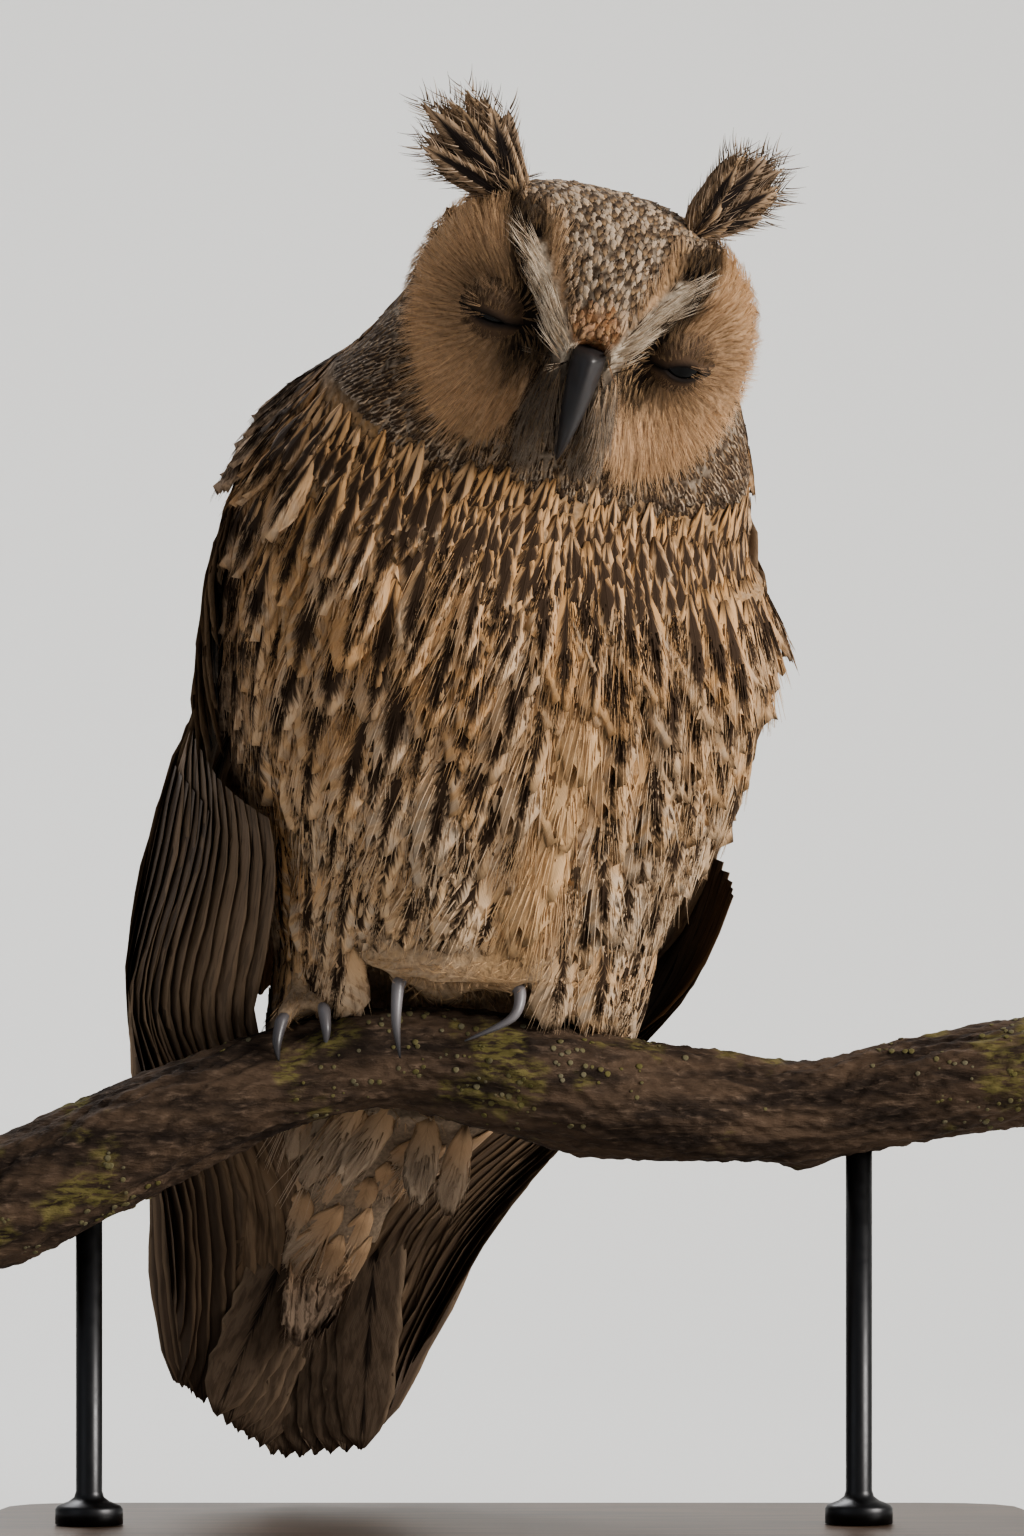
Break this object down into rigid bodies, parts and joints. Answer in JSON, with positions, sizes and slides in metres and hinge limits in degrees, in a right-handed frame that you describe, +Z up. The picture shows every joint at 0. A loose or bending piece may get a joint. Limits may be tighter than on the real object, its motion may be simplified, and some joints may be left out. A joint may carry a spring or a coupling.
{
  "type": "perched owl model",
  "caption": "Life-size long-eared owl dozing on a cut branch, head bowed and tilted, wings folded, held by two rods on a flat base.",
  "frame": {"origin": "on the underside of the base, straight below the middle of the branch", "axes": "+Z up, -Y out of the bird's face towards the viewer, +X towards the bird's left"},
  "size_m": [0.2872, 0.1832, 0.3876],
  "materials": {
    "bark": "rough weathered bark with yellow-green lichen",
    "base_wood": "dark stained wood, satin",
    "bill_horn": "satin slate-black horn",
    "body_plumage": "matt soft plumage, buff with dark brown streaks",
    "claw_horn": "satin slate-grey horn",
    "eye_cornea": "glossy wet eye, orange iris and black pupil",
    "face_plumage": "matt soft plumage, orange buff discs with a dark rim",
    "leg_plumage": "matt short plumage, pale tan",
    "rod_steel": "blackened steel, satin",
    "tuft_plumage": "matt dark brown feathers with pale fringes",
    "wing_plumage": "matt to satin vanes, dark brown with grey and buff bars"
  },
  "bodies": {
    "root": {"bill_lower": "bill_horn", "bill_upper": "bill_horn", "claw_left_1": "claw_horn", "claw_left_2": "claw_horn", "claw_left_3": "claw_horn", "claw_left_4": "claw_horn", "claw_right_1": "claw_horn", "claw_right_2": "claw_horn", "claw_right_3": "claw_horn", "claw_right_4": "claw_horn", "ear_tuft_left": "tuft_plumage", "ear_tuft_right": "tuft_plumage", "eye_left": "eye_cornea", "eye_right": "eye_cornea", "foot_left": "leg_plumage", "foot_right": "leg_plumage", "head": "face_plumage", "leg_left": "leg_plumage", "leg_right": "leg_plumage", "neck": "body_plumage", "perch": "bark", "stand_base": "base_wood", "stand_rod_1": "rod_steel", "stand_rod_2": "rod_steel", "tail": "wing_plumage", "torso": "body_plumage", "wing_left": "wing_plumage", "wing_right": "wing_plumage"}
  },
  "joints": []
}
